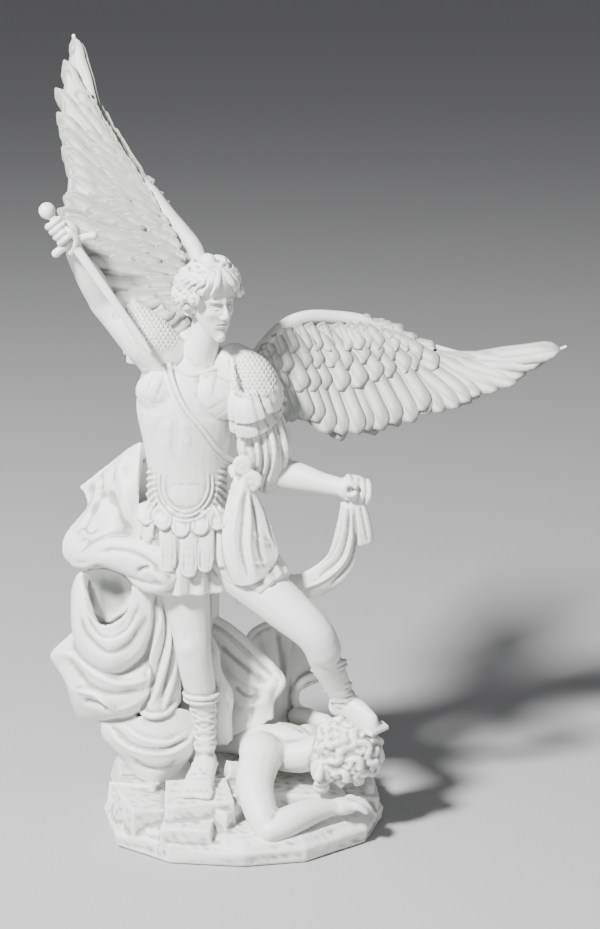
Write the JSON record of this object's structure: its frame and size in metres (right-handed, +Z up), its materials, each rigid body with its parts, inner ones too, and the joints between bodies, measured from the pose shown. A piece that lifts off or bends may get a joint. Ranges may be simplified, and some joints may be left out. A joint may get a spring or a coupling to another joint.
{
  "type": "archangel michael statue",
  "caption": "Winged archangel in armour with raised sword, treading on a fallen bat-winged demon, cast as one on a rock base.",
  "frame": {"origin": "centre of the rock base's flat underside", "axes": "+Z up; -Y towards the viewer of the front; +X to the viewer's right, where the spread wing reaches"},
  "size_m": [0.2442, 0.125, 0.3687],
  "materials": {
    "white_resin": "cast marble-powder resin, white, satin matte"
  },
  "bodies": {
    "root": {"statue": "white_resin"}
  },
  "joints": []
}
